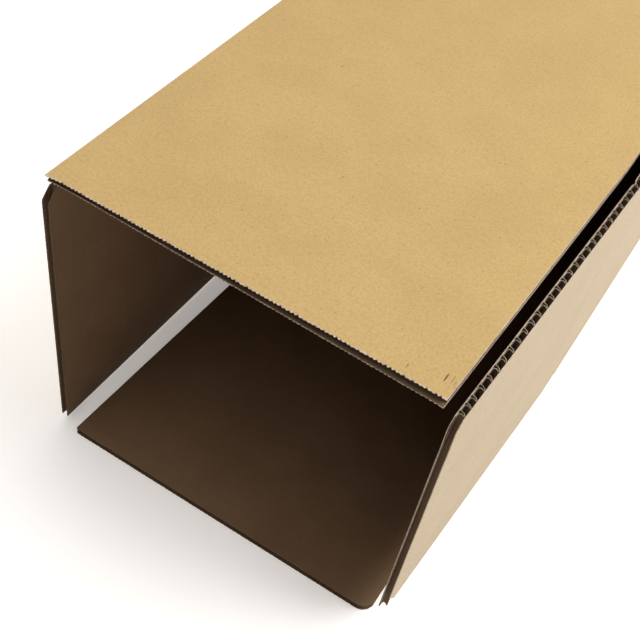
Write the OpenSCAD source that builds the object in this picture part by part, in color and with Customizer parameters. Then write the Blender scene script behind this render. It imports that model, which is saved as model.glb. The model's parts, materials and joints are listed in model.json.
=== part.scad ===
// Slotted corrugated box lying on its side.
// The tube is closed and glued at the rear and open at the mouth, where four scored flaps stand out.
// X runs across the box, Y from the mouth to the rear and Z up. Sizes are in millimetres.

/* [Board] */
// Thickness of the single-wall board
board_t = 5; // [3:0.5:7]
// Thickness of each flat liner
liner_t = 0.5; // [0.3:0.1:0.8]
// Thickness of the fluted paper between the liners
medium_t = 0.5; // [0.3:0.1:0.8]
// Distance from one flute to the next
flute_pitch = 8; // [6:0.5:12]

/* [Box] */
// Outside width of the tube
box_w = 270; // [200:1:340]
// Outside height of the tube
box_h = 232; // [180:1:300]
// Length of the tube from the deepest front score to the rear face
tube_len = 400; // [200:5:700]
// Outside radius of the tube's folded corners
fold_r = 10; // [7:0.5:14]
// Width of the glued tab that joins the tube inside one corner
tab_w = 35; // [20:1:50]

/* [Flaps] */
// Room left between the tip of a closed flap and the opposite wall
tip_clear = 1; // [0.5:0.5:60]
// Distance from a folded corner to the flap beside its slot
slot_trim = 1; // [0.5:0.5:5]
// Length of the slots behind the deepest score
slot_past = 20; // [8:1:40]
// Room between two flaps that lie on each other when closed
fold_gap = 0.5; // [0.3:0.1:1]
// Lean of the open right flap towards the inside, in degrees
right_lean = 2; // [0:0.25:2.5]
// Cut across the upper front corners of the side flaps
corner_cut = 8; // [4:0.5:14]
// Radius of the rounded front corners of the top and bottom flaps
corner_r = 6; // [2:0.5:10]
// How much the top flap narrows from its score to its tip
top_taper = 7; // [0:0.5:12]

/* [Slots] */
// Distance from the box's side to the top flap's edge at the glued corner
top_glued_in = 5.5; // [5.5:0.5:12]
// Distance from the box's sides to the bottom flap's edges
bottom_in = 20; // [11:0.5:26]
// Distance from the box's top to the left flap's upper edge
left_top_in = 16; // [11:0.5:24]
// Distance from the box's underside to the left flap's lower edge
left_low_in = 6.5; // [6:0.5:14]
// Distance from the box's underside to the right flap's lower edge
right_low_in = 14; // [6:0.5:20]

/* [Scores] */
// Radius of the crushed bead on the fold line
bead_r = 0.6; // [0.5:0.1:0.9]
// Gap between the bead and the tube's wall
bead_gap = 0.3; // [0.2:0.1:0.5]
// Half thickness of the crushed board next to the bead
crush_h = 0.4; // [0.3:0.05:0.5]
// Length over which the crushed board thickens again
crush_len = 3.2; // [3.2:0.1:5]

/* [Hidden] */
$fn = 48;

kraft = [0.79, 0.66, 0.44];
kraft_pale = [0.83, 0.74, 0.58];

// Turn of each wall about the tube's axis, counted from the top wall
top_turn = 0;
right_turn = 90;
bottom_turn = 180;
left_turn = 270;

// Each flap's score lies one ply behind the last, so that closed flaps lie on each other.
// The narrower way across the tube sets how long a flap can be and still close.
ply = board_t + fold_gap;
top_len = min(box_h, box_w - 2 * ply) - 3 * board_t / 2 - tip_clear;
bottom_len = top_len - ply;
right_len = top_len + ply;
left_len = top_len + 2 * ply;

total_len = left_len + tube_len;
mouth_y = -total_len / 2;
rear_y = total_len / 2;
slot_y = mouth_y + left_len + slot_past;
rear_plies = 4;
rear_slot_y = rear_y - rear_plies * board_t - slot_past;

// Distance from the tube's axis to the middle of a wall
level_reach = (box_h - board_t) / 2;
side_reach = (box_w - board_t) / 2;

// Where the panel between two slots begins and ends, counted across the wall from its middle.
// The count runs to the left on the top wall and turns with the walls.
edge_in = fold_r + slot_trim;
top_span = [edge_in - box_w / 2, box_w / 2 - top_glued_in];
bottom_span = [bottom_in - box_w / 2, box_w / 2 - bottom_in];
left_span = [left_top_in - box_h / 2, box_h / 2 - left_low_in];
right_span = [right_low_in - box_h / 2, box_h / 2 - edge_in];
rear_level_span = [edge_in - box_w / 2, box_w / 2 - edge_in];
rear_side_span = [edge_in - box_h / 2, box_h / 2 - edge_in];

// Glued faces bite a little into each other, and the flute wave into both liners
glue_bite = board_t / 100;
cell_h = board_t / 2 - liner_t;
wave_amp = cell_h - medium_t / 2 + glue_bite;
wave_start = acos((cell_h - medium_t / 2) / wave_amp);
wave_steps = 8;
full_turn = 360;
// How far a cut runs past what it cuts, and a wall into the wall that it carries on
over = board_t / 5;

// Edge of one hollow under the upper liner, from one glued crest to the next
function hollow_outline() = [
    for (i = [0:wave_steps])
        let (a = wave_start + i * (full_turn - 2 * wave_start) / wave_steps)
            [flute_pitch * (a / full_turn - 1 / 2), wave_amp * cos(a) + medium_t / 2]
];

// Hollows on both sides of the fluted paper, counted back from the flap's free edge
module flute_hollows(len) {
    room = len - crush_len - over;
    for (u = [len : -flute_pitch : len - room + flute_pitch / 2])
        translate([u, 0]) polygon(hollow_outline());
    for (u = [len - flute_pitch / 2 : -flute_pitch : len - room + flute_pitch / 2])
        translate([u, 0]) mirror([0, 1]) polygon(hollow_outline());
}

// Section of a flap along its length, with the bead on the fold line at the origin
module flap_section(len) {
    circle(r = bead_r);
    difference() {
        polygon([
            [0, -crush_h], [crush_len, -board_t / 2], [len, -board_t / 2],
            [len, board_t / 2], [crush_len, board_t / 2], [0, crush_h]
        ]);
        flute_hollows(len);
    }
}

// Section of the tube's wall behind a score, from its crushed lip back to the end of the slots
module lip_section(back) {
    lip = bead_r + bead_gap;
    polygon([
        [-back, -board_t / 2], [-crush_len, -board_t / 2], [-lip, -crush_h],
        [-lip, crush_h], [-crush_len, board_t / 2], [-back, board_t / 2]
    ]);
}

// Section of a wall's rear end, folded inwards over its radius into a closing flap.
// Its glued face lies on the flap beneath.
module rear_section(fold_y, len) {
    start_y = rear_slot_y - over;
    inner_y = fold_y - board_t;
    translate([start_y, -board_t / 2]) square([inner_y - start_y, board_t]);
    intersection() {
        translate([inner_y, -board_t / 2]) circle(r = board_t);
        translate([inner_y, -board_t / 2]) square([board_t, board_t]);
    }
    translate([inner_y - glue_bite, -board_t / 2 - len]) square([board_t + glue_bite, len]);
}

// Stands a section up on one wall: its x runs towards the mouth and its y points out of the box
module on_wall(turn, reach, y = 0) {
    translate([0, y, box_h / 2]) rotate([0, turn, 0]) translate([0, 0, reach])
        rotate([90, 0, -90]) children();
}

// Triangle off a flap's front corner, at the origin
module cut_corner() {
    linear_extrude(height = board_t + 2 * over, center = true)
        polygon([[-corner_cut, 0], [0, -corner_cut], [over, -corner_cut], [over, over], [-corner_cut, over]]);
}

// What rounding takes off a flap's front corner, at the origin
module round_corner() {
    linear_extrude(height = board_t + 2 * over, center = true)
        difference() {
            translate([-corner_r, -corner_r]) square(corner_r + over);
            translate([-corner_r, -corner_r]) circle(r = corner_r);
        }
}

// What a slanted slot takes off a flap's edge, from nothing at the score to the whole taper at the tip
module slant(len, edge) {
    rotate([90, 0, 0]) linear_extrude(height = board_t + 2 * over, center = true)
        polygon([[0, edge], [0, edge - over], [len + over, edge - over], [len + over, edge + top_taper]]);
}

// Stretches a section over the part of a wall between two slots
module across(span) {
    translate([0, 0, span[0]]) linear_extrude(height = span[1] - span[0]) children();
}

// A flap with its flutes along its width, leaning inwards; the child is taken off the front corners
// at the named ends of the span
module flap(len, span, ends = [0, 1], lean = 0) {
    rotate([0, 0, -lean]) difference() {
        across(span) flap_section(len);
        for (i = ends) translate([len, 0, span[i]]) mirror([0, 0, 1 - i]) rotate([90, 0, 0]) children();
    }
}

// Outline of the tube at a depth in its board, with straight walls and rounded corners
module tube_outline(depth) {
    w = box_w - 2 * depth;
    h = box_h - 2 * depth;
    r = fold_r - depth;
    square([w - 2 * r, h], center = true);
    square([w, h - 2 * r], center = true);
    for (sx = [-1, 1], sz = [-1, 1])
        translate([sx * (w / 2 - r), sz * (h / 2 - r)]) circle(r = r);
}

// The tube between the front slots and the rear slots
module tube() {
    translate([0, rear_slot_y, box_h / 2]) rotate([90, 0, 0])
        linear_extrude(height = rear_slot_y - slot_y) difference() {
            tube_outline(0);
            tube_outline(board_t);
        }
}

// Wall between two front slots, up to its crushed lip
module lip(turn, reach, span, len) {
    score_y = mouth_y + len;
    on_wall(turn, reach, score_y) across(span) lip_section(slot_y + over - score_y);
}

// Wall between two rear slots, folded into the closed and glued rear end
module rear_flap(turn, reach, span, plies_out, len) {
    on_wall(turn, reach) mirror([1, 0, 0])
        across(span) rear_section(rear_y - plies_out * board_t, len);
}

// Tab of the top wall, folded down and glued inside the left wall
module glue_tab() {
    front_y = slot_y + board_t;
    back_y = rear_slot_y - board_t;
    translate([-box_w / 2 + board_t - glue_bite, front_y, box_h - board_t - tab_w])
        cube([board_t + glue_bite, back_y - front_y, tab_w + glue_bite]);
}

module box_body() {
    color(kraft) union() {
        tube();
        glue_tab();
        lip(top_turn, level_reach, top_span, top_len);
        lip(bottom_turn, level_reach, bottom_span, bottom_len);
        lip(right_turn, side_reach, right_span, right_len);
        lip(left_turn, side_reach, left_span, left_len);
        rear_flap(bottom_turn, level_reach, rear_level_span, 0, bottom_len);
        rear_flap(top_turn, level_reach, rear_level_span, 1, top_len);
        rear_flap(right_turn, side_reach, rear_side_span, 2, right_len);
        rear_flap(left_turn, side_reach, rear_side_span, 3, left_len);
    }
}

module top_flap() {
    color(kraft) on_wall(top_turn, level_reach, mouth_y + top_len)
        difference() {
            flap(top_len, top_span, [1]) round_corner();
            slant(top_len, top_span[0]);
        }
}

module bottom_flap() {
    color(kraft) on_wall(bottom_turn, level_reach, mouth_y + bottom_len)
        flap(bottom_len, bottom_span) round_corner();
}

module left_flap() {
    color(kraft) on_wall(left_turn, side_reach, mouth_y + left_len)
        flap(left_len, left_span, [0]) cut_corner();
}

module right_flap() {
    color(kraft_pale) on_wall(right_turn, side_reach, mouth_y + right_len)
        flap(right_len, right_span, [1], right_lean) cut_corner();
}

box_body();
top_flap();
bottom_flap();
left_flap();
right_flap();
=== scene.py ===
"""Dresses the corrugated box: papered flaps, folded tube, glued rear end, floor, light and camera.

Everything is in metres in the part's own frame: X across the box, Y from the mouth to the rear, Z up.
Each board is built flat, as two liners with a waved sheet between them, and is then folded into its place.
"""

import json
import logging
import math
from dataclasses import dataclass, field
from enum import Enum

import bpy
import numpy as np
from mathutils import Matrix, Vector


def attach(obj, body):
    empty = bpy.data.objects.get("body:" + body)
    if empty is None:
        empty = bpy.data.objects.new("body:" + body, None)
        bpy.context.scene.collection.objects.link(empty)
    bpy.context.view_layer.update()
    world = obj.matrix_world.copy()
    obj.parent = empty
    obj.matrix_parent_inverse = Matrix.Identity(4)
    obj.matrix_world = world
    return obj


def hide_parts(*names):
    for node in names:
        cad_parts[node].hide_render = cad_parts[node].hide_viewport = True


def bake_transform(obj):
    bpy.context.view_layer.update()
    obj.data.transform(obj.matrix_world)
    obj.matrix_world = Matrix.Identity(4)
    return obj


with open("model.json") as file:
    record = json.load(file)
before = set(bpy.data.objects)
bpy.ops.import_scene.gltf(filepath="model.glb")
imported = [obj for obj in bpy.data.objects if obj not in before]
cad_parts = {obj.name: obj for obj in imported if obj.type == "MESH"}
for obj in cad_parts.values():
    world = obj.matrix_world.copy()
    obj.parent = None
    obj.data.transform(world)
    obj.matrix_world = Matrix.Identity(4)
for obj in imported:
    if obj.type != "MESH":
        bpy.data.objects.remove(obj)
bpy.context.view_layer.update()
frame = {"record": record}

log = logging.getLogger("corrugated_box")

Material = bpy.types.Material
Object = bpy.types.Object
Socket = bpy.types.NodeSocket
Sockets = bpy.types.bpy_prop_collection
Pair = tuple[float, float]
Triple = tuple[float, float, float]

MM = 0.001
BOX_BODY = "box"
PLACE = "rest_place"
TO_MOUTH = np.array([0.0, -1.0, 0.0])
TO_REAR = np.array([0.0, 1.0, 0.0])


class Wall(Enum):
    """The four walls of the tube, each with the way that it faces and the way across it."""

    TOP = ((0, 0, 1), (1, 0, 0))
    RIGHT = ((1, 0, 0), (0, 0, 1))
    BOTTOM = ((0, 0, -1), (1, 0, 0))
    LEFT = ((-1, 0, 0), (0, 0, 1))

    @property
    def out(self) -> np.ndarray:
        """Direction out of the box."""
        return np.array(self.value[0], float)

    @property
    def across(self) -> np.ndarray:
        """Direction across the wall, along its flutes."""
        return np.array(self.value[1], float)

    @property
    def flap(self) -> str:
        """Name of the wall's flap at the mouth, and of its body."""
        return f"{self.name.lower()}_flap"


class Corner(Enum):
    """How a flap's front corner is cut."""

    ROUND = "round"
    CHAMFER = "chamfer"


@dataclass(frozen=True)
class CornerCut:
    """What is taken off one front corner of a board: how far along it, and how far aside.

    Below 0 along, the corner stands out instead.
    """

    kind: Corner = Corner.ROUND
    along: float = 0.8 * MM
    aside: float = 0.8 * MM

    def depth(self, into: np.ndarray) -> np.ndarray:
        """How far the front edge is drawn back.

        Args:
            into: Distance beyond the start of the corner, across the board.

        Returns:
            The depth for each distance.
        """
        share = np.clip(into / self.aside, 0.0, 1.0)
        if self.kind is Corner.ROUND:
            share = 1 - np.sqrt(1 - share**2)
        return self.along * share


@dataclass(frozen=True)
class Board:
    """Sizes of the single-wall board, and of the box that is folded from it.

    Those that end in _y are places along the box: the flaps' tips, the slots' ends and the rear end.
    Those that end in _in are distances from a wall's side to its flap's edge; edge_in holds where no other does.
    """

    thick: float = 5.0 * MM
    liner: float = 0.45 * MM
    medium: float = 0.42 * MM
    pitch: float = 8.0 * MM
    box_w: float = 270.0 * MM
    box_h: float = 232.0 * MM
    fold_r: float = 10.0 * MM
    tab_w: float = 35.0 * MM
    mouth_y: float = -317.25 * MM
    slot_y: float = -62.75 * MM
    rear_slot_y: float = 277.25 * MM
    rear_y: float = 317.25 * MM
    edge_in: float = 11.0 * MM
    top_glued_in: float = 5.5 * MM
    bottom_in: float = 20.0 * MM
    left_top_in: float = 16.0 * MM
    left_low_in: float = 6.5 * MM
    right_low_in: float = 14.0 * MM

    @property
    def wave(self) -> float:
        """Half height of the waved sheet, measured in its middle."""
        return self.thick / 2 - self.liner - self.medium / 2

    @property
    def fold_arc(self) -> float:
        """Length of a fold at the rear, measured in the middle of the board."""
        return self.thick / 2 * math.pi / 2


def add_object(name: str, data: bpy.types.ID) -> Object:
    """Adds an object to the scene.

    Args:
        name: The object's name.
        data: Its mesh, light or camera.

    Returns:
        The new object.
    """
    made = bpy.data.objects.new(name, data)
    bpy.context.scene.collection.objects.link(made)
    return made


def smooth(t: np.ndarray) -> np.ndarray:
    """Smooth step of values that are cut to the span from 0 to 1."""
    t = np.clip(t, 0.0, 1.0)
    return t * t * (3 - 2 * t)


class Graph:
    """A node tree with short ways to add and link nodes."""

    def __init__(self, tree: bpy.types.NodeTree) -> None:
        """Keeps the tree that is filled."""
        self.tree = tree

    def add(self, kind: str, inputs: dict[int | str, object] | None = None, **settings: object) -> bpy.types.Node:
        """Adds a node, sets its properties, and links or sets its inputs.

        Args:
            kind: The node's type.
            inputs: A value or an output socket for each named or numbered input.
            **settings: Properties of the node.

        Returns:
            The new node.
        """
        node = self.tree.nodes.new(kind)
        for key, value in settings.items():
            setattr(node, key, value)
        for key, value in (inputs or {}).items():
            if isinstance(value, Socket):
                self.tree.links.new(value, node.inputs[key])
            else:
                node.inputs[key].default_value = value
        return node

    def math(self, operation: str, *values: object) -> Socket:
        """Adds a Math node.

        Args:
            operation: The node's operation.
            *values: Numbers or output sockets.

        Returns:
            The result's socket.
        """
        return self.add("ShaderNodeMath", dict(enumerate(values)), operation=operation).outputs[0]

    def blend_colour(self, share: object, first: object, second: object, mode: str = "MIX") -> Socket:
        """Adds a colour Mix node.

        Args:
            share: How much of the second colour shows.
            first: The colour at a share of 0.
            second: The colour at a share of 1.
            mode: How the second colour goes over the first.

        Returns:
            The mixed colour's socket.
        """
        node = self.add("ShaderNodeMix", {0: share, 6: first, 7: second}, data_type="RGBA", blend_type=mode)
        return node.outputs[2]

    def noise(self, place: Socket, scale: float, detail: float, rough: float) -> Socket:
        """Adds a noise texture.

        Args:
            place: The point that is looked up.
            scale: How fine the noise is.
            detail: Its number of finer layers.
            rough: How strong the finer layers are.

        Returns:
            The noise value's socket.
        """
        inputs = {"Vector": place, "Scale": scale, "Detail": detail, "Roughness": rough}
        return self.add("ShaderNodeTexNoise", inputs).outputs[0]

    def span(self, value: object, low: float, high: float) -> Socket:
        """Maps the values from low to high smoothly onto 0 to 1.

        Args:
            value: The socket that is mapped.
            low: What becomes 0.
            high: What becomes 1.

        Returns:
            The mapped value's socket.
        """
        inputs = {0: value, 1: low, 2: high}
        return self.add("ShaderNodeMapRange", inputs, interpolation_type="SMOOTHSTEP").outputs[0]


@dataclass(frozen=True)
class Grain:
    """One noise of a paper: scale, detail and roughness, and from where it begins to show and shows fully."""

    texture: Triple
    shows: Pair


@dataclass(frozen=True)
class Crease:
    """A short pressed line on the outside of the board, in millimetres: length along the box, width across."""

    middle: Triple
    length: float
    width: float
    strength: float


@dataclass(frozen=True)
class PaperFinish:
    """Uncoated paper with mottled colour, fibres, flecks and a trace of the flutes beneath.

    Its darker places are its tone times its shade. A paler tone may be given for the right wall: painted light, for
    the sheen and key light that fall on that side.
    """

    CLOUD = Grain((24.0, 3.0, 0.55), (0.30, 0.72))
    MOTTLE = Grain((620.0, 3.0, 0.65), (0.35, 0.72))
    FIBRE = Grain((1.0, 3.0, 0.65), (0.42, 0.80))
    FLECKS = Grain((560.0, 1.0, 0.40), (0.69, 0.78))
    # Fibres per metre, each way
    STRANDS = (1500.0, 520.0, 1500.0)
    # Where the right wall's paler tone, painted light for its sheen, begins across the box, and from where it is full
    PALE_SPAN = (0.1245, 0.1270)
    # Share of a crease's half size where it begins, and within which it is deepest
    CREASE_SPAN = (1.0, 0.7)
    # How dark a crease's colour grows, as a share of the fleck colour: painted shade in the crease
    CREASE_DARK = 0.35
    CREASE_HEIGHT = 2.5
    FIBRE_HEIGHT = 0.6
    MOTTLE_HEIGHT = 0.8
    BUMP_DISTANCE = 0.0004
    SHEEN_ROUGHNESS = 0.4

    name: str
    tone: Triple
    shade: Triple
    fleck: Triple
    cloud: float = 0.3
    mottle: float = 0.35
    fibre: float = 0.5
    fleck_share: float = 0.5
    roughness: float = 0.72
    gloss: float = 0.3
    sheen: float = 0.0
    flute_trace: float = 0.0
    grain: float = 0.35
    pale: Triple | None = None
    creases: tuple[Crease, ...] = ()

    def _tone(self, graph: Graph, place: Socket, mottle: Socket, fibre: Socket) -> Socket:
        """Mixes the paper's colour.

        Args:
            graph: The material's tree.
            place: Rest place of the shaded point.
            mottle: Noise of the paper's formation.
            fibre: Noise of its fibres.

        Returns:
            The colour's socket.
        """
        cloud = graph.noise(place, *self.CLOUD.texture)
        flecks = graph.noise(place, *self.FLECKS.texture)
        tone: object = (*self.tone, 1)
        # Painted light: the right wall gets a paler tone for the sheen and key light that fall on it
        if self.pale:
            beside = graph.add("ShaderNodeSeparateXYZ", {0: place}).outputs["X"]
            tone = graph.blend_colour(graph.span(beside, *self.PALE_SPAN), tone, (*self.pale, 1))
        for grain, noise, most in (
            (self.CLOUD, cloud, self.cloud), (self.MOTTLE, mottle, self.mottle), (self.FIBRE, fibre, self.fibre),
        ):
            deep = graph.blend_colour(1.0, tone, (*self.shade, 1), "MULTIPLY")
            tone = graph.blend_colour(graph.math("MULTIPLY", graph.span(noise, *grain.shows), most), tone, deep)
        dots = graph.math("MULTIPLY", graph.span(flecks, *self.FLECKS.shows), self.fleck_share)
        return graph.blend_colour(dots, tone, (*self.fleck, 1))

    def _pressed(self, graph: Graph, place: Socket) -> Socket | None:
        """Adds up the creases.

        Args:
            graph: The material's tree.
            place: Rest place of the shaded point.

        Returns:
            The socket of how deep the point is pressed, or nothing for a paper without creases.
        """
        total = None
        for crease in self.creases:
            middle = Vector(crease.middle) * MM
            size = Vector((crease.width, crease.length, crease.length)) * (MM / 2)
            near = graph.add("ShaderNodeVectorMath", {0: place, 1: middle}, operation="SUBTRACT").outputs[0]
            near = graph.add("ShaderNodeVectorMath", {0: near, 1: size}, operation="DIVIDE").outputs[0]
            far = graph.add("ShaderNodeVectorMath", {0: near}, operation="LENGTH").outputs["Value"]
            depth = graph.math("MULTIPLY", graph.span(far, *self.CREASE_SPAN), crease.strength)
            total = depth if total is None else graph.math("ADD", total, depth)
        return total

    def build(self) -> Material:
        """Makes the material.

        Returns:
            The new material.
        """
        made = bpy.data.materials.new(self.name)
        made.use_nodes = True
        graph = Graph(made.node_tree)
        made.node_tree.nodes.clear()
        place = graph.add("ShaderNodeAttribute", attribute_name=PLACE).outputs["Vector"]
        strands = graph.add("ShaderNodeMapping", {"Vector": place, "Scale": self.STRANDS}).outputs[0]
        mottle = graph.noise(place, *self.MOTTLE.texture)
        fibre = graph.noise(strands, *self.FIBRE.texture)
        tone = self._tone(graph, place, mottle, fibre)
        height = graph.math(
            "ADD", graph.math("MULTIPLY", fibre, self.FIBRE_HEIGHT), graph.math("MULTIPLY", mottle, self.MOTTLE_HEIGHT)
        )
        if self.flute_trace:
            along = graph.add("ShaderNodeSeparateXYZ", {0: place}).outputs["Y"]
            ripple = graph.math("SINE", graph.math("MULTIPLY", along, 2 * math.pi / Board().pitch))
            height = graph.math("ADD", height, graph.math("MULTIPLY", ripple, self.flute_trace))
        # Creases: their darker colour is painted shade in the pressed line, and their lower height is a real bump
        pressed = self._pressed(graph, place)
        if pressed is not None:
            tone = graph.blend_colour(pressed, tone, (*(self.CREASE_DARK * v for v in self.fleck), 1))
            height = graph.math("SUBTRACT", height, graph.math("MULTIPLY", pressed, self.CREASE_HEIGHT))
        bump = graph.add(
            "ShaderNodeBump", {"Strength": self.grain, "Distance": self.BUMP_DISTANCE, "Height": height}
        ).outputs[0]
        shader = graph.add(
            "ShaderNodeBsdfPrincipled",
            {"Base Color": tone, "Roughness": self.roughness, "Normal": bump, "Specular IOR Level": self.gloss,
             "Sheen Weight": self.sheen, "Sheen Roughness": self.SHEEN_ROUGHNESS},
        )
        graph.add("ShaderNodeOutputMaterial", {0: shader.outputs[0]})
        return made


class Finishes:
    """The papers of the box, made once."""

    def __init__(self) -> None:
        """Makes the six materials. The creases lie on the top wall, at its height in millimetres."""
        top = 232.0
        rough = {"cloud": 0.5, "mottle": 0.9, "fibre": 0.7, "fleck_share": 0.6, "roughness": 0.9, "gloss": 0.1}
        # Grain of the dark edge paper, which is painted shade
        painted_shade_edge_grain = {**rough, "mottle": 0.8, "fibre": 0.6, "fleck_share": 0.5}
        self.outer = PaperFinish(
            "kraft_outer_liner", (0.464, 0.317, 0.128), (0.74, 0.70, 0.62), (0.20, 0.115, 0.045),
            cloud=0.22, mottle=0.52, fibre=0.50, fleck_share=0.65, sheen=0.12, flute_trace=0.08,
            # Paler tone of the right wall: painted light
            pale=(0.440, 0.338, 0.208),
            creases=(
                Crease((110.0, -303.9, top), 7.0, 0.9, 0.95), Crease((113.4, -303.3, top), 7.0, 0.8, 0.35),
                Crease((115.2, -304.5, top), 4.6, 0.8, 0.30), Crease((91.2, -309.6, top), 4.0, 0.8, 0.55),
                Crease((-60.0, -125.5, top), 1.9, 1.7, 0.45),
            ),
        ).build()
        # The inner liner is the same kraft made much darker: painted shade of the box's dark inside
        self.inner = PaperFinish(
            "kraft_inner_liner", (0.205, 0.121, 0.063), (0.80, 0.77, 0.72), (0.09, 0.05, 0.025),
            cloud=0.5, mottle=0.4, fibre=0.3, fleck_share=0.3, flute_trace=0.10, roughness=0.8,
        ).build()
        self.fluting = PaperFinish(
            "fluting_paper", (0.165, 0.108, 0.062), (0.75, 0.72, 0.68), (0.06, 0.04, 0.02),
            fleck_share=0.3, roughness=0.85, gloss=0.1,
        ).build()
        self.cut = PaperFinish(
            "cut_paper_edge", (0.58, 0.465, 0.365), (0.55, 0.51, 0.46), (0.14, 0.10, 0.06), **rough
        ).build()
        # The dark edge paper is painted shade: it stands for the shade on the front edges of the bottom and left
        # flaps, which face away from the lights
        self.soiled = PaperFinish(
            "soiled_paper_edge", (0.150, 0.105, 0.068), (0.60, 0.56, 0.50), (0.05, 0.035, 0.02), **painted_shade_edge_grain
        ).build()
        self.cut_fluting = PaperFinish(
            "cut_fluting_edge", (0.37, 0.31, 0.245), (0.50, 0.46, 0.42), (0.12, 0.09, 0.06), **rough
        ).build()


class SheetTree:
    """Geometry Nodes tree for one sheet of paper: flat or waved, with a serrated front edge and real thickness.

    The sheet lies in the tree's own frame, with X towards the front edge and Y across, centred on the origin.
    Its wave is wide where it lies on one liner and narrow where it reaches the other.
    """

    # How long the wave stays on its wide side, and how softly it turns
    WIDE = 0.90
    SOFT = 0.02
    # Scale, detail and roughness of the noise that shifts the waves, and how near the front edge it fades
    STRAY_NOISE = (90.0, 2.0, 0.6)
    STRAY_FADE = 0.012
    # Noise that makes the cut edges uneven, the part of its values that counts, and the depth of bite for it
    RAGGED_SCALE = 300.0
    RAGGED_DETAIL = 2.0
    RAGGED_SPAN = (0.36, 0.64)
    BITE_SPAN = (0.40, 1.25)
    # Distances from a side between which the teeth reach their depth
    TOOTH_START = (0.0005, 0.004)
    # Points nearer than this to a side lie on it, and points nearer than this to each other are one
    SIDE_NEAR = 0.0001
    WELD = 1e-6
    INPUTS = {
        "NodeSocketFloat": {
            "Length": 0.2, "Width": 0.2, "Thickness": 0.0005, "Wave Height": 0.0, "Wave Pitch": 0.008,
            "Wave Lean": 0.0, "Wave Bow": 0.0, "Wave Drift": 0.0, "Tooth Pitch": 0.0032, "Tooth Depth": 0.0,
            "Tooth Reach": 0.002, "Edge Fray": 0.0, "Worn Rim": 0.0, "Seed": 1.0,
        },
        "NodeSocketInt": {"Lines": 40, "Columns": 40},
        "NodeSocketMaterial": {"Top": None, "Under": None, "Edge": None},
    }

    def __init__(self) -> None:
        """Builds the tree."""
        self.tree = bpy.data.node_groups.new("paper_sheet", "GeometryNodeTree")
        self.keys: dict[str, str] = {}
        for kind, defaults in self.INPUTS.items():
            for name, default in defaults.items():
                item = self.tree.interface.new_socket(name, in_out="INPUT", socket_type=kind)
                if default is not None:
                    item.default_value = default
                self.keys[name] = item.identifier
        self.tree.interface.new_socket("Geometry", in_out="OUTPUT", socket_type="NodeSocketGeometry")
        self._fill()

    def _wave(self, graph: Graph, given: Sockets, along: Socket, to_front: Socket) -> tuple[Socket, Socket]:
        """Adds the wave, with its narrow crests leaning and bowed.

        Args:
            graph: The tree.
            given: The tree's inputs.
            along: The point's place along the sheet.
            to_front: Its distance from the front edge.

        Returns:
            The sockets of how far the point moves along the sheet and out of its plane.
        """
        level = graph.add("ShaderNodeCombineXYZ", {0: along, 2: given["Seed"]}).outputs[0]
        shift = graph.math("SUBTRACT", graph.noise(level, *self.STRAY_NOISE), 0.5)
        strays = graph.math("MULTIPLY", shift, given["Wave Drift"])
        wander = graph.math("MULTIPLY", strays, graph.span(to_front, 0.0, self.STRAY_FADE))
        turn = graph.math("MULTIPLY", graph.math("DIVIDE", to_front, given["Wave Pitch"]), 2 * math.pi)
        swing = graph.math("ADD", graph.math("COSINE", graph.math("ADD", turn, wander)), self.WIDE)
        flat = graph.math("SQRT", graph.math("ADD", graph.math("MULTIPLY", swing, swing), self.SOFT))
        least, most = ((v + self.WIDE) / math.sqrt((v + self.WIDE) ** 2 + self.SOFT) for v in (-1.0, 1.0))
        crest = graph.add("ShaderNodeMapRange", {0: graph.math("DIVIDE", swing, flat), 1: least, 2: most}).outputs[0]
        level_up = graph.math("SUBTRACT", 1.0, graph.math("MULTIPLY", crest, 2.0))
        rise = graph.math("SUBTRACT", 1.0, crest)
        halfway = graph.math("MULTIPLY", graph.math("MULTIPLY", rise, crest), 4.0)
        bow = graph.math("MULTIPLY", halfway, given["Wave Bow"])
        lean = graph.math("SUBTRACT", graph.math("MULTIPLY", rise, given["Wave Lean"]), bow)
        return lean, graph.math("MULTIPLY", level_up, given["Wave Height"])

    def _wear(
        self, graph: Graph, given: Sockets, place: Socket, across: Socket, to_front: Socket, half: Socket
    ) -> tuple[Socket, Socket]:
        """Adds the teeth of the front edge and the frayed sides.

        Args:
            graph: The tree.
            given: The tree's inputs.
            place: The point's place.
            across: Its place across the sheet.
            to_front: Its distance from the front edge.
            half: Half the sheet's width.

        Returns:
            The sockets of how far the point is drawn back from the front edge and moved across.
        """
        part = graph.math("FRACT", graph.math("DIVIDE", across, given["Tooth Pitch"]))
        tooth = graph.math("MULTIPLY", graph.math("ABSOLUTE", graph.math("SUBTRACT", part, 0.5)), 2.0)
        ragged = graph.add(
            "ShaderNodeTexNoise",
            {"Vector": place, "W": given["Seed"], "Scale": self.RAGGED_SCALE, "Detail": self.RAGGED_DETAIL},
            noise_dimensions="4D",
        ).outputs[0]
        close = graph.math("DIVIDE", to_front, given["Tooth Reach"])
        near = graph.add("ShaderNodeMapRange", {0: close, 1: 1.0, 2: 0.0}).outputs[0]
        spans = dict(enumerate((ragged, *self.RAGGED_SPAN, *self.BITE_SPAN)))
        bite = graph.add("ShaderNodeMapRange", spans).outputs[0]
        aside = graph.math("ABSOLUTE", across)
        inside = graph.span(graph.math("SUBTRACT", half, aside), *self.TOOTH_START)
        depth = graph.math("MULTIPLY", graph.math("MULTIPLY", given["Tooth Depth"], bite), inside)
        nibble = graph.math("MULTIPLY", graph.math("MULTIPLY", tooth, depth), near)
        beside = graph.math("GREATER_THAN", aside, graph.math("SUBTRACT", half, self.SIDE_NEAR))
        inwards = graph.math("MULTIPLY", graph.math("SIGN", across), -1.0)
        fray = graph.math(
            "MULTIPLY", graph.math("MULTIPLY", beside, given["Edge Fray"]), graph.math("MULTIPLY", ragged, inwards)
        )
        return nibble, fray

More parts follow.
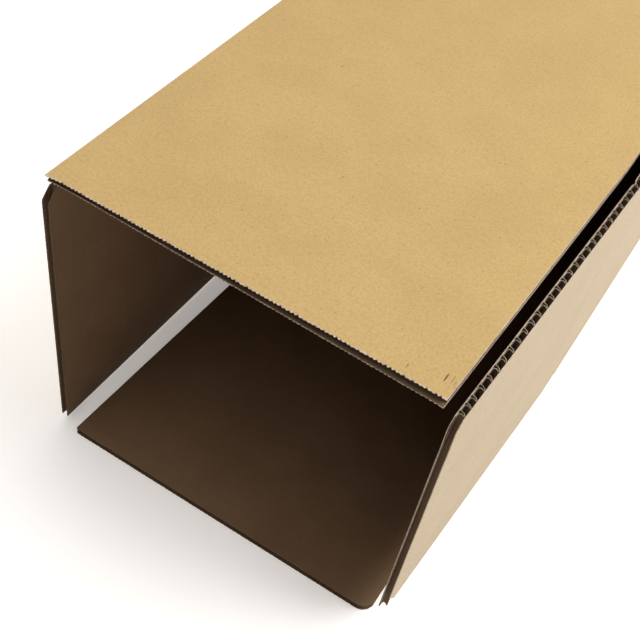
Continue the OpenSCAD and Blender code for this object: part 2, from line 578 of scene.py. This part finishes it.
    def _fill(self) -> None:
        """Adds the nodes: a grid, its wave and teeth, its thickness, and its three materials."""
        graph = Graph(self.tree)
        given = graph.add("NodeGroupInput").outputs
        grid = graph.add(
            "GeometryNodeMeshGrid",
            {"Size X": given["Length"], "Size Y": given["Width"],
             "Vertices X": given["Lines"], "Vertices Y": given["Columns"]},
        ).outputs["Mesh"]
        place = graph.add("GeometryNodeInputPosition").outputs[0]
        apart = graph.add("ShaderNodeSeparateXYZ", {0: place}).outputs
        to_front = graph.math("SUBTRACT", graph.math("MULTIPLY", given["Length"], 0.5), apart["X"])
        half = graph.math("MULTIPLY", given["Width"], 0.5)
        lean, wave = self._wave(graph, given, apart["X"], to_front)
        nibble, fray = self._wear(graph, given, place, apart["Y"], to_front, half)
        moved = {0: graph.math("SUBTRACT", lean, nibble), 1: fray, 2: wave}
        offset = graph.add("ShaderNodeCombineXYZ", moved).outputs[0]
        shaped = graph.add("GeometryNodeSetPosition", {"Geometry": grid, "Offset": offset}).outputs[0]
        solid = graph.add(
            "GeometryNodeExtrudeMesh", {"Mesh": shaped, "Offset Scale": given["Thickness"], "Individual": False}
        ).outputs
        under = graph.add("GeometryNodeFlipFaces", {0: shaped}).outputs[0]
        joined = graph.add("GeometryNodeJoinGeometry")
        for part in (under, solid["Mesh"]):
            self.tree.links.new(part, joined.inputs[0])
        welded = {"Geometry": joined.outputs[0], "Distance": self.WELD}
        closed = graph.add("GeometryNodeMergeByDistance", welded).outputs[0]
        real = graph.add("GeometryNodeRealizeInstances", {0: closed}).outputs[0]

        rim_start = graph.math("SUBTRACT", half, given["Worn Rim"])
        side_rim = graph.math("GREATER_THAN", graph.math("ABSOLUTE", apart["Y"]), rim_start)
        front_rim = graph.math("LESS_THAN", to_front, given["Tooth Reach"])
        has_rim = graph.math("GREATER_THAN", given["Worn Rim"], 0.0)
        rim = graph.math("MULTIPLY", graph.math("MAXIMUM", side_rim, front_rim), has_rim)
        worn = graph.math("MULTIPLY", solid["Top"], rim)
        painted = graph.add("GeometryNodeSetMaterial", {"Geometry": real, "Material": given["Under"]}).outputs[0]
        for chosen, paint in ((solid["Top"], "Top"), (worn, "Edge"), (solid["Side"], "Edge")):
            inputs = {"Geometry": painted, "Selection": chosen, "Material": given[paint]}
            painted = graph.add("GeometryNodeSetMaterial", inputs).outputs[0]
        graph.add("NodeGroupOutput", {0: painted})

    def make(self, name: str, values: dict[str, object]) -> bpy.types.Mesh:
        """Evaluates the tree once.

        Args:
            name: The mesh's name.
            values: A value for each named input.

        Returns:
            The sheet as a plain mesh, lying flat.
        """
        holder = add_object(name, bpy.data.meshes.new(name + "_seed"))
        modifier = holder.modifiers.new("sheet", "NODES")
        modifier.node_group = self.tree
        for key, value in values.items():
            modifier[self.keys[key]] = value
        depsgraph = bpy.context.evaluated_depsgraph_get()
        mesh = bpy.data.meshes.new_from_object(holder.evaluated_get(depsgraph))
        mesh.name = name
        holder.modifiers.remove(modifier)
        bpy.data.objects.remove(holder)
        return mesh


def read_places(mesh: bpy.types.Mesh) -> np.ndarray:
    """Reads the places of a mesh's vertices.

    Args:
        mesh: The mesh that is read.

    Returns:
        One row of x, y and z for each vertex.
    """
    flat = np.zeros(len(mesh.vertices) * 3)
    mesh.vertices.foreach_get("co", flat)
    return flat.reshape(-1, 3)


def finish_piece(name: str, mesh: bpy.types.Mesh, points: np.ndarray, angle: float = 50.0) -> Object:
    """Puts a mesh in its place and keeps that place for its finish.

    Args:
        name: The piece's name.
        mesh: The mesh that is placed.
        points: The final place of each vertex.
        angle: Edges sharper than this stay sharp, in degrees.

    Returns:
        The new object.
    """
    flat = points.astype(np.float32).ravel()
    mesh.vertices.foreach_set("co", flat)
    kept = mesh.attributes.new(PLACE, "FLOAT_VECTOR", "POINT")
    kept.data.foreach_set("vector", flat)
    mesh.shade_smooth()
    mesh.set_sharp_from_angle(angle=math.radians(angle))
    mesh.update()
    piece = add_object(name, mesh)
    log.info("%s: %d faces", name, len(mesh.polygons))
    return piece


@dataclass
class Ply:
    """A board that is built flat and folded into its place: two liners and the waved sheet between them.

    Flat coordinates are u towards the front edge, w across along the flutes, and h out of the box.
    The score lies at u = 0, with length before it and back behind it.

    Attributes:
        low_cuts: Cuts of the front corner at the low end of w.
        worn_cuts: What is worn off the outer liner there as well.
        slant: How far the front edge stands out at the low and the high end.
        inner_slant: The same for the papers under the outer liner, if they differ.
        score_dip: How far the score presses the outer liner in.
        score_crush: How far it presses the inner liner out.
        worn_rim: Width of the worn paper along the sides. Above 0 the front edge is worn as well.
        columns: Columns of faces in each tooth.
        front_reach: Length over which the front edge's shape fades.
        edge: Finish of the cut edges, if not the usual one.
        flute_side: 1.0 where the wave lies widely on the inner liner, -1.0 on the outer one.
    """

    # Rows of a liner before its front edge and round its score, in millimetres
    FRONT_ROWS = (20.0, 17.0, 14.0, 11.5, 9.0, 7.0, 5.0, 3.5, 2.2, 1.0, 0.0)
    SCORE_ROWS = (-5.0, -3.5, -2.5, -1.7, -1.0, -0.4, 0.0, 0.4, 1.0, 1.7, 2.5, 3.5, 5.0)
    # Length of those rows between score and front edge, and the step of the others
    CLOSE_LENGTH = 25.0 * MM
    ROW_STEP = 4.0 * MM
    # How far a tooth may draw a point off its row, and the share of a row's step that teeth reach
    ROW_SLACK = 0.3 * MM
    TOOTH_REACH = 0.9
    LEAST_TEETH = 4
    # Reach of the score in the liners and in the waved sheet, and how much it flattens the waves
    DENT_REACH = 1.7 * MM
    CALM_REACH = 2.2 * MM
    CALM_SHARE = 0.55
    LINER_FRAY = 0.35 * MM
    FLUTING_FRAY = 0.5 * MM
    # How much narrower the waved sheet is than the liners, and how far it stays behind the front edge
    FLUTING_NARROW = 0.5 * MM
    FLUTING_BEHIND = 0.2 * MM
    FLUTING_COLUMNS = 9
    FLUTING_SHARP = 70.0
    WAVE_STEPS = 30
    WAVE_LEAN = 1.0 * MM
    WAVE_BOW = 1.2 * MM
    WAVE_DRIFT = 2.0

    name: str
    length: float
    back: float
    width: float
    sheet: SheetTree
    finishes: Finishes
    board: Board = field(default_factory=Board)
    low_cuts: tuple[CornerCut, ...] = (CornerCut(),)
    worn_cuts: tuple[CornerCut, ...] = ()
    high_corner: CornerCut = CornerCut()
    slant: Pair = (0.0, 0.0)
    inner_slant: Pair | None = None
    score_dip: float = 0.10 * MM
    score_crush: float = 1.1 * MM
    tooth_pitch: float = 3.2 * MM
    tooth_depth: float = 0.2 * MM
    worn_rim: float = 0.0
    columns: int = 2
    front_reach: float = 20.0 * MM
    edge: Material | None = None
    flute_side: float = 1.0
    seed: float = 1.0

    def place(self, flat: np.ndarray) -> np.ndarray:
        """Folds flat points into the box's frame.

        Args:
            flat: Rows of u, w and h.

        Returns:
            Rows of x, y and z.
        """
        raise NotImplementedError

    def lines(self) -> np.ndarray:
        """Sets the rows of a liner, close together at the score and at the front edge.

        Returns:
            The place of each row along u.
        """
        front = self.length - np.array(self.FRONT_ROWS) * MM
        score = np.array(self.SCORE_ROWS) * MM
        behind = np.linspace(-self.back, score[0], max(3, int(self.back / self.ROW_STEP)))[:-1]
        count = int((self.length - self.CLOSE_LENGTH) / self.ROW_STEP)
        between = np.linspace(score[-1], front[0], count)[1:-1]
        return np.concatenate([behind, score, between, front])

    def trim_front(self, flat: np.ndarray, low: tuple[CornerCut, ...], slant: Pair) -> np.ndarray:
        """Draws the front edge back at both corners and slants it.

        Args:
            flat: Rows of u, w and h.
            low: Cuts of the corner at the low end.
            slant: How far the front edge stands out at the low and the high end.

        Returns:
            The same rows, trimmed.
        """
        half = self.width / 2
        w = flat[:, 1]
        cut = self.high_corner.depth(w - half + self.high_corner.aside)
        cut = cut + sum(corner.depth(corner.aside - half - w) for corner in low)
        cut = cut - np.interp(w, (-half, half), slant)
        share = np.clip((flat[:, 0] - self.length + self.front_reach) / self.front_reach, 0.0, 1.0)
        flat = flat.copy()
        flat[:, 0] -= share * cut
        return flat

    def _liner(
        self, key: str, low: float, faces: tuple[Material, Material], dent: float,
        cuts: tuple[CornerCut, ...], slant: Pair,
    ) -> Object:
        """Makes one liner.

        Args:
            key: Word for the piece's name.
            low: Height of the liner's lower face.
            faces: Finish of its face away from the inside of the box, and of its other face.
            dent: How far the score presses it in or out.
            cuts: Cuts of its front corner at the low end.
            slant: How far its front edge stands out at the low and the high end.

        Returns:
            The liner's object.
        """
        board, lines = self.board, self.lines()
        teeth = max(self.LEAST_TEETH, round(self.width / self.tooth_pitch))
        span = self.length + self.back
        step = span / (len(lines) - 1)
        mesh = self.sheet.make(
            f"{self.name}_{key}",
            {"Length": span, "Width": self.width, "Lines": len(lines), "Columns": self.columns * teeth + 1,
             "Thickness": board.liner, "Tooth Pitch": self.width / teeth, "Tooth Depth": self.tooth_depth,
             "Tooth Reach": step * self.TOOTH_REACH, "Edge Fray": self.LINER_FRAY, "Worn Rim": self.worn_rim,
             "Seed": self.seed + low / MM, "Top": faces[0], "Under": faces[1],
             "Edge": self.edge or self.finishes.cut},
        )
        raw = read_places(mesh)
        row = np.rint((raw[:, 0] + span / 2 + self.ROW_SLACK) / step)
        row = np.clip(row, 0, len(lines) - 1).astype(int)
        u = lines[row] + raw[:, 0] - (row * step - span / 2)
        h = raw[:, 2] + low + dent * np.exp(-((u / self.DENT_REACH) ** 2))
        flat = self.trim_front(np.column_stack([u, raw[:, 1], h]), cuts, slant)
        return finish_piece(f"{self.name}_{key}", mesh, self.place(flat))

    def _fluting(self) -> Object:
        """Makes the waved sheet between the liners.

        Returns:
            The waved sheet's object.
        """
        board, paper = self.board, self.finishes
        span = self.length + self.back
        steps = round(span / board.pitch * self.WAVE_STEPS)
        mesh = self.sheet.make(
            f"{self.name}_fluting",
            {"Length": span, "Width": self.width - self.FLUTING_NARROW, "Lines": steps + 1,
             "Columns": self.FLUTING_COLUMNS, "Thickness": board.medium,
             "Wave Height": self.flute_side * board.wave, "Wave Pitch": board.pitch, "Wave Lean": self.WAVE_LEAN,
             "Wave Bow": self.WAVE_BOW, "Wave Drift": self.WAVE_DRIFT, "Edge Fray": self.FLUTING_FRAY,
             "Seed": self.seed, "Top": paper.fluting, "Under": paper.fluting,
             "Edge": self.edge or paper.cut_fluting},
        )
        raw = read_places(mesh)
        near_front = smooth((raw[:, 0] - span / 2 + self.front_reach) / self.front_reach)
        u = raw[:, 0] + span / 2 - self.back - self.FLUTING_BEHIND * near_front
        calm = 1 - self.CALM_SHARE * np.exp(-((u / self.CALM_REACH) ** 2))
        h = (raw[:, 2] - board.medium / 2) * calm
        flat = self.trim_front(np.column_stack([u, raw[:, 1], h]), self.low_cuts, self.inner_slant or self.slant)
        return finish_piece(f"{self.name}_fluting", mesh, self.place(flat), angle=self.FLUTING_SHARP)

    def build(self) -> list[Object]:
        """Makes the outer liner, the inner liner and the waved sheet.

        Returns:
            The three pieces, the outer liner first.
        """
        half = self.board.thick / 2
        paper = self.finishes
        outer = self._liner(
            "outer_liner", half - self.board.liner, (paper.outer, paper.fluting), -self.score_dip,
            self.low_cuts + self.worn_cuts, self.slant,
        )
        inner = self._liner(
            "inner_liner", -half, (paper.fluting, paper.inner), self.score_crush,
            self.low_cuts, self.inner_slant or self.slant,
        )
        return [outer, inner, self._fluting()]

    def dress(self) -> list[Object]:
        """Builds the board, fixed to the box.

        Returns:
            The board's pieces.
        """
        made = self.build()
        for piece in made:
            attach(piece, BOX_BODY)
        return made


@dataclass
class MouthFlap(Ply):
    """A flap at the mouth with the strip of wall behind it, free to swing on its score.

    At rest it leans in by lean degrees, and taper moves its low and its high edge at the tip.
    """

    wall: Wall = Wall.TOP
    score: Triple = (0.0, 0.0, 0.0)
    middle: float = 0.0
    lean: float = 0.0
    taper: Pair = (0.0, 0.0)
    bend_reach: float = 3.0 * MM

    def place(self, flat: np.ndarray) -> np.ndarray:
        """Lays flat points on the wall, with the flap leaning from its score.

        Args:
            flat: Rows of u, w and h.

        Returns:
            Rows of x, y and z.
        """
        u, w, h = flat.T
        angle = math.radians(self.lean) * smooth((u + self.bend_reach) / (2 * self.bend_reach))
        along = u * np.cos(angle) + h * np.sin(angle)
        out = h * np.cos(angle) - u * np.sin(angle)
        side = w / self.width + 0.5
        low, high = self.taper
        aside = self.middle + w + np.clip(u / self.length, 0.0, 1.0) * (low * (1 - side) + high * side)
        return (
            np.array(self.score) + np.outer(along, TO_MOUTH)
            + np.outer(aside, self.wall.across) + np.outer(out, self.wall.out)
        )

    def dress(self) -> list[Object]:
        """Builds the flap in its place and hides the imported flap.

        Returns:
            The flap's pieces.
        """
        made = self.build()
        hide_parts(self.name)
        for piece in made:
            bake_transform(piece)
        return made


@dataclass
class RearFlap(Ply):
    """A wall's rear strip, folded inwards over a tight radius and glued on the flap beneath.

    reach is the distance from the tube's axis to the middle of the wall, and fold_y the place of the outer face.
    """

    wall: Wall = Wall.TOP
    reach: float = 0.0
    fold_y: float = 0.0

    def place(self, flat: np.ndarray) -> np.ndarray:
        """Lays flat points on the wall, round the fold and down the rear end.

        Args:
            flat: Rows of u, w and h.

        Returns:
            Rows of x, y and z.
        """
        u, w, h = flat.T
        half = self.board.thick / 2
        arc = self.board.fold_arc
        angle = np.clip((u + arc) / arc, 0.0, 1.0) * math.pi / 2
        ahead = np.minimum(u + arc, 0.0)
        down = np.maximum(u, 0.0)
        radius = half + h
        y = self.fold_y - self.board.thick + ahead + radius * np.sin(angle)
        out = self.reach - half + radius * np.cos(angle) - down
        middle = np.array([0.0, 0.0, self.board.box_h / 2])
        return middle + np.outer(y, TO_REAR) + np.outer(w, self.wall.across) + np.outer(out, self.wall.out)


@dataclass
class GlueTab(Ply):
    """The tab that joins the tube, glued flat inside the left wall, with the middle of its board at face_x."""

    ROWS = 60

    front_y: float = 0.0
    face_x: float = 0.0
    middle_z: float = 0.0

    def lines(self) -> np.ndarray:
        """Places along u of a liner's rows, evenly spaced."""
        return np.linspace(-self.back, self.length, self.ROWS)

    def place(self, flat: np.ndarray) -> np.ndarray:
        """Lays flat points inside the left wall."""
        u, w, h = flat.T
        return np.column_stack([self.face_x - h, self.front_y + self.length - u, self.middle_z + w])


@dataclass
class Tube:
    """The closed part of the box between its slots, with round folded corners and a groove in its cut ends."""

    CORNERS = ((1, 1), (-1, 1), (-1, -1), (1, -1))

    finishes: Finishes
    board: Board = field(default_factory=Board)
    arc_steps: int = 10
    wall_steps: int = 24
    length_rows: int = 18
    groove: float = 6.0 * MM

    def outline(self, depth: float) -> np.ndarray:
        """Points round the tube at a depth in its board.

        Args:
            depth: Distance in from the outer face.

        Returns:
            Rows of x and z, the same number at every depth.
        """
        board = self.board
        half_w, half_h = board.box_w / 2 - board.fold_r, board.box_h / 2 - board.fold_r
        radius = board.fold_r - depth
        points: list[np.ndarray] = []
        for i, (sx, sz) in enumerate(self.CORNERS):
            for k in range(self.arc_steps + 1):
                turn = math.pi / 2 * (i + k / self.arc_steps)
                points.append(np.array([sx * half_w + radius * math.cos(turn), sz * half_h + radius * math.sin(turn)]))
            nx, nz = self.CORNERS[(i + 1) % len(self.CORNERS)]
            turn = math.pi / 2 * (i + 1)
            start = points[-1]
            stop = np.array([nx * half_w + radius * math.cos(turn), nz * half_h + radius * math.sin(turn)])
            points += [start + (stop - start) * k / self.wall_steps for k in range(1, self.wall_steps)]
        return np.array(points) + np.array([0.0, board.box_h / 2])

    def loops(self) -> list[Pair]:
        """Lists the loops along the outer face, round the mouth's cut end, along the inner face and round the rear's.

        Returns:
            Depth in the board and y of each loop.
        """
        board, groove = self.board, self.groove
        front, rear, skin, full = board.slot_y, board.rear_slot_y, board.liner, board.thick
        outer = [(0.0, y) for y in np.linspace(rear, front, self.length_rows)]
        inner = [(full, y) for y in np.linspace(front, rear, self.length_rows)]
        mouth = [(skin, front), (skin, front + groove), (full - skin, front + groove), (full - skin, front)]
        back = [(full - skin, rear), (full - skin, rear - groove), (skin, rear - groove), (skin, rear)]
        return outer + mouth + inner + back

    def dress(self) -> Object:
        """Builds the tube on the box.

        Returns:
            The tube's object.
        """
        loops = self.loops()
        rings = [self.outline(depth) for depth, _ in loops]
        count = len(rings[0])
        points = np.array([(x, y, z) for ring, (_, y) in zip(rings, loops) for x, z in ring])
        faces, kinds = [], []
        outer, inner, cut = range(3)
        for i, (depth, _) in enumerate(loops):
            following = (i + 1) % len(loops)
            next_depth = loops[following][0]
            if depth == next_depth == 0.0:
                kind = outer
            elif depth == next_depth == self.board.thick:
                kind = inner
            else:
                kind = cut
            for k in range(count):
                m = (k + 1) % count
                faces.append((i * count + k, i * count + m, following * count + m, following * count + k))
                kinds.append(kind)
        mesh = bpy.data.meshes.new("tube_walls")
        mesh.from_pydata(points.tolist(), [], faces)
        for material in (self.finishes.outer, self.finishes.inner, self.finishes.cut):
            mesh.materials.append(material)
        mesh.polygons.foreach_set("material_index", kinds)
        piece = finish_piece("tube_walls", mesh, points)
        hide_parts("box_body")
        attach(piece, BOX_BODY)
        return piece


@dataclass(frozen=True)
class Lamp:
    """One square light: its place, the point that it faces, its side in metres and its power in watts."""

    name: str
    place: Triple
    aim: Triple
    size: float
    power: float

    def hang(self) -> None:
        """Adds the light to the scene."""
        data = bpy.data.lights.new(self.name, "AREA")
        data.size, data.energy = self.size, self.power
        lamp = add_object(self.name, data)
        facing = (Vector(self.aim) - Vector(self.place)).to_track_quat("-Z", "Y").to_matrix().to_4x4()
        lamp.matrix_world = Matrix.Translation(Vector(self.place)) @ facing


@dataclass
class Studio:
    """Pale floor, soft light and the camera at the photograph's viewing angle.

    Angles are in degrees, focal_px and frame_px in pixels of the photograph, and sensor in millimetres.
    """

    azimuth: float = 24.06
    elevation: float = 48.62
    roll: float = 11.18
    distance: float = 640.65 * MM
    target: Triple = (9.02 * MM, -237.25 * MM, 139.47 * MM)
    focal_px: float = 1046.1
    frame_px: float = 640.0
    sensor: float = 36.0
    near_clip: float = 0.01
    floor_reach: float = 6.0
    floor_z: float = -0.0004
    floor_tone: Triple = (0.93, 0.90, 0.87)
    floor_glow: Triple = (1.0, 0.955, 0.91)
    glow_strength: float = 0.31
    sky_strength: float = 0.10
    lamps: tuple[Lamp, ...] = (
        Lamp("key_light", (1.5, 0.65, 1.9), (0.0, -0.15, 0.1), 1.8, 70.0),
        Lamp("top_light", (-0.3, 0.4, 2.4), (0.0, -0.1, 0.1), 2.4, 36.0),
        Lamp("front_light", (-0.2, -0.95, 2.0), (0.0, -0.25, 0.0), 1.0, 8.2),
    )

    def camera(self) -> None:
        """Places the camera."""
        a, e, r = (math.radians(v) for v in (self.azimuth, self.elevation, self.roll))
        ahead = Vector((-math.sin(a) * math.cos(e), math.cos(a) * math.cos(e), -math.sin(e)))
        level = ahead.cross(Vector((0, 0, 1))).normalized()
        upright = level.cross(ahead)
        right = math.cos(r) * level + math.sin(r) * upright
        up = -math.sin(r) * level + math.cos(r) * upright
        data = bpy.data.cameras.new("camera")
        data.sensor_fit = "HORIZONTAL"
        data.sensor_width = self.sensor
        data.lens = self.focal_px / self.frame_px * self.sensor
        data.clip_start = self.near_clip
        cam = add_object("camera", data)
        turned = Matrix((right, up, -ahead)).transposed().to_4x4()
        cam.matrix_world = Matrix.Translation(Vector(self.target) - ahead * self.distance) @ turned
        bpy.context.scene.camera = cam

    def floor(self) -> None:
        """Lays the floor."""
        reach, low = self.floor_reach, self.floor_z
        corners = [(-reach, -reach, low), (reach, -reach, low), (reach, reach, low), (-reach, reach, low)]
        mesh = bpy.data.meshes.new("floor")
        mesh.from_pydata(corners, [], [(0, 1, 2, 3)])
        paint = bpy.data.materials.new("pale_floor")
        paint.use_nodes = True
        shader = paint.node_tree.nodes["Principled BSDF"]
        for key, value in (
            ("Base Color", (*self.floor_tone, 1)), ("Roughness", 0.9), ("Specular IOR Level", 0.1),
            ("Emission Color", (*self.floor_glow, 1)), ("Emission Strength", self.glow_strength),
        ):
            shader.inputs[key].default_value = value
        mesh.materials.append(paint)
        ground = add_object("floor", mesh)

    def dress(self) -> None:
        """Sets up camera, floor, lights, sky and colour view."""
        self.camera()
        self.floor()
        for lamp in self.lamps:
            lamp.hang()
        sky = bpy.data.worlds.new("studio")
        sky.use_nodes = True
        shine = sky.node_tree.nodes["Background"].inputs
        shine["Color"].default_value = (1.0, 1.0, 1.0, 1)
        shine["Strength"].default_value = self.sky_strength
        bpy.context.scene.world = sky
        bpy.context.scene.view_settings.view_transform = "Standard"


@dataclass
class CorrugatedBox:
    """The whole box: its tube, four free flaps at the mouth, four glued flaps at the rear, and the glued tab."""

    # First seeds of the noises at the mouth and at the rear, and the tab's seed
    MOUTH_SEED = 3.0
    REAR_SEED = 11.0
    TAB_SEED = 19.0

    sheet: SheetTree
    finishes: Finishes
    board: Board = field(default_factory=Board)

    def score_of(self, body: str) -> Triple:
        """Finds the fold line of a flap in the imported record.

        Args:
            body: The flap's body.

        Returns:
            A point on the fold line.
        """
        joints = frame["record"]["behaviour"]["joints"]
        return tuple(next(j for j in joints if j["child"] == body)["pos_m"])

    def mouth(self) -> list[Object]:
        """Builds the four flaps at the mouth.

        Returns:
            Their pieces.
        """
        board, made = self.board, []
        level, side = board.box_w / 2, board.box_h / 2
        # The bottom and left flaps' front edges take the dark edge paper, painted shade, and their waves lie widely on
        # the outer liner
        soiled = {"edge": self.finishes.soiled, "flute_side": -1.0}
        rounded = CornerCut(Corner.ROUND, 1.6 * MM, 1.6 * MM)
        plan = (
            (Wall.TOP, (board.top_glued_in - level, level - board.edge_in), {
                "taper": (0.0, -7.0 * MM), "slant": (0.8 * MM, -1.2 * MM), "inner_slant": (-0.6 * MM, 0.2 * MM),
                "low_cuts": (CornerCut(Corner.CHAMFER, -1.2 * MM, 14.0 * MM), rounded),
                "tooth_pitch": 2.6 * MM, "tooth_depth": 1.0 * MM, "worn_rim": 0.9 * MM, "columns": 4}),
            (Wall.BOTTOM, (board.bottom_in - level, level - board.bottom_in), {
                "low_cuts": (rounded,), "high_corner": CornerCut(Corner.ROUND, 9.0 * MM, 9.0 * MM),
                "slant": (3.5 * MM, -1.0 * MM), "taper": (-5.0 * MM, 1.5 * MM), **soiled}),
            (Wall.LEFT, (board.left_low_in - side, side - board.left_top_in), {
                "high_corner": CornerCut(Corner.CHAMFER, 7.0 * MM, 7.0 * MM), **soiled}),
            (Wall.RIGHT, (board.right_low_in - side, side - board.edge_in), {
                "high_corner": CornerCut(Corner.CHAMFER, 5.0 * MM, 5.0 * MM), "slant": (3.0 * MM, 0.0),
                "worn_cuts": (CornerCut(Corner.CHAMFER, 11.0 * MM, 17.0 * MM),),
                "lean": 2.0, "taper": (12.0 * MM, 0.0)}),
        )
        for i, (wall, (low, high), looks) in enumerate(plan):
            score = self.score_of(wall.flap)
            flap = MouthFlap(
                wall.flap, score[1] - board.mouth_y, board.slot_y - score[1], high - low, self.sheet, self.finishes,
                board, seed=self.MOUTH_SEED + i, wall=wall, score=score, middle=(low + high) / 2, **looks,
            )
            made += flap.dress()
        return made

    def rear(self) -> list[Object]:
        """Builds the four glued flaps at the rear, the outermost first.

        Returns:
            Their pieces.
        """
        board, made = self.board, []
        level, side = board.box_w - 2 * board.edge_in, board.box_h - 2 * board.edge_in
        level_reach, side_reach = (board.box_h - board.thick) / 2, (board.box_w - board.thick) / 2
        plan = (
            (Wall.BOTTOM, level, level_reach), (Wall.TOP, level, level_reach),
            (Wall.RIGHT, side, side_reach), (Wall.LEFT, side, side_reach),
        )
        for plies_out, (wall, width, reach) in enumerate(plan):
            fold_y = board.rear_y - plies_out * board.thick
            length = self.score_of(wall.flap)[1] - board.mouth_y
            back = fold_y - board.thick - board.rear_slot_y + board.fold_arc
            flap = RearFlap(
                f"rear_{wall.flap}", length, back, width, self.sheet, self.finishes, board, score_dip=0.0,
                score_crush=0.0, seed=self.REAR_SEED + plies_out, wall=wall, reach=reach, fold_y=fold_y,
            )
            made += flap.dress()
        return made

    def tab(self) -> list[Object]:
        """Builds the glued tab.

        Returns:
            Its pieces.
        """
        board = self.board
        front, rear = board.slot_y + board.thick, board.rear_slot_y - board.thick
        return GlueTab(
            "glue_tab", rear - front, 0.0, board.tab_w, self.sheet, self.finishes, board,
            score_dip=0.0, score_crush=0.0, seed=self.TAB_SEED, tooth_depth=0.0, front_y=front,
            face_x=-board.box_w / 2 + 1.5 * board.thick, middle_z=board.box_h - board.thick - board.tab_w / 2,
        ).dress()

    def dress(self) -> list[Object]:
        """Builds the whole box.

        Returns:
            Every piece.
        """
        return [Tube(self.finishes, self.board).dress(), *self.mouth(), *self.rear(), *self.tab()]


def main() -> None:
    logging.basicConfig(level=logging.INFO, format="%(name)s %(message)s")
    made = CorrugatedBox(SheetTree(), Finishes()).dress()
    Studio().dress()
    log.info("%d pieces", len(made))


if __name__ == "__main__":
    main()
